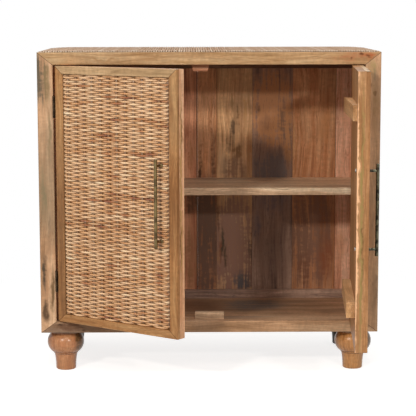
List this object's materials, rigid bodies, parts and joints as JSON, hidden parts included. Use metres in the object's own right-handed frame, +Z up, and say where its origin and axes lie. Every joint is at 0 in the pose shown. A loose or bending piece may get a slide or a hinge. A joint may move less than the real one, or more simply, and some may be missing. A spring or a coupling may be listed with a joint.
{
  "type": "storage cabinet with two woven doors",
  "caption": "Low mango-wood cabinet on turned bun feet, with a mitred front frame, inset rattan-fronted doors on butt hinges, bar handles and an inner shelf.",
  "frame": {"origin": "on the floor, under the middle of the carcass's width and depth", "axes": "+X to the right seen from the front, +Y from the front to the back, +Z up"},
  "size_m": [0.8, 0.7421, 0.7638],
  "materials": {
    "frame_wood": "satin lacquered mango wood",
    "panel_wood": "satin lacquered mango wood",
    "door_wood": "satin lacquered mango wood",
    "inner_wood": "satin lacquered mango wood",
    "turned_wood": "glossy lacquered turned mango wood",
    "woven_rattan": "woven natural rattan, clear coated",
    "bronzed_brass": "antique bronze plating",
    "zinc_steel": "zinc plated"
  },
  "bodies": {
    "carcass": {"back_bottom_rail": "inner_wood", "back_left_foot": "turned_wood", "back_plank_1": "inner_wood", "back_plank_2": "inner_wood", "back_plank_3": "inner_wood", "back_plank_4": "inner_wood", "back_plank_5": "inner_wood", "back_plank_6": "inner_wood", "back_plank_7": "inner_wood", "back_plank_8": "inner_wood", "back_right_foot": "turned_wood", "back_top_rail": "inner_wood", "bottom_door_stop": "inner_wood", "floor_board": "inner_wood", "foot_bolts": "zinc_steel", "frame_bottom_rail": "frame_wood", "frame_left_stile": "frame_wood", "frame_right_stile": "frame_wood", "frame_top_rail": "frame_wood", "front_left_foot": "turned_wood", "front_right_foot": "turned_wood", "left_hinge_frame_leaves": "bronzed_brass", "left_hinge_pins": "bronzed_brass", "left_shelf_block": "inner_wood", "left_shelf_cleat": "inner_wood", "left_side_panel": "panel_wood", "right_hinge_frame_leaves": "bronzed_brass", "right_hinge_pins": "bronzed_brass", "right_shelf_block": "inner_wood", "right_shelf_cleat": "inner_wood", "right_side_panel": "panel_wood", "shelf": "inner_wood", "top_board": "panel_wood", "top_door_stop": "inner_wood", "woven_top": "woven_rattan"},
    "left_door": {"left_door_board": "door_wood", "left_door_bottom_rail": "door_wood", "left_door_hinge_stile": "door_wood", "left_door_meeting_stile": "door_wood", "left_door_top_rail": "door_wood", "left_handle_bar": "bronzed_brass", "left_handle_posts": "bronzed_brass", "left_handle_screws": "zinc_steel", "left_hinge_door_leaves": "bronzed_brass", "left_lower_ledge": "door_wood", "left_upper_ledge": "door_wood", "left_woven_panel": "woven_rattan"},
    "right_door": {"right_door_board": "door_wood", "right_door_bottom_rail": "door_wood", "right_door_hinge_stile": "door_wood", "right_door_meeting_stile": "door_wood", "right_door_top_rail": "door_wood", "right_handle_bar": "bronzed_brass", "right_handle_posts": "bronzed_brass", "right_handle_screws": "zinc_steel", "right_hinge_door_leaves": "bronzed_brass", "right_lower_ledge": "door_wood", "right_upper_ledge": "door_wood", "right_woven_panel": "woven_rattan"}
  },
  "joints": [
    {"name": "left_door_hinge", "type": "hinge", "parent": "carcass", "child": "left_door", "pos_m": [-0.36165, -0.193, 0.428], "axis": [0, 0, -1], "range_deg": [-37.7, 142.3]},
    {"name": "right_door_hinge", "type": "hinge", "parent": "carcass", "child": "right_door", "pos_m": [0.36165, -0.193, 0.428], "axis": [0, 0, 1], "range_deg": [-86.2, 93.8]}
  ]
}
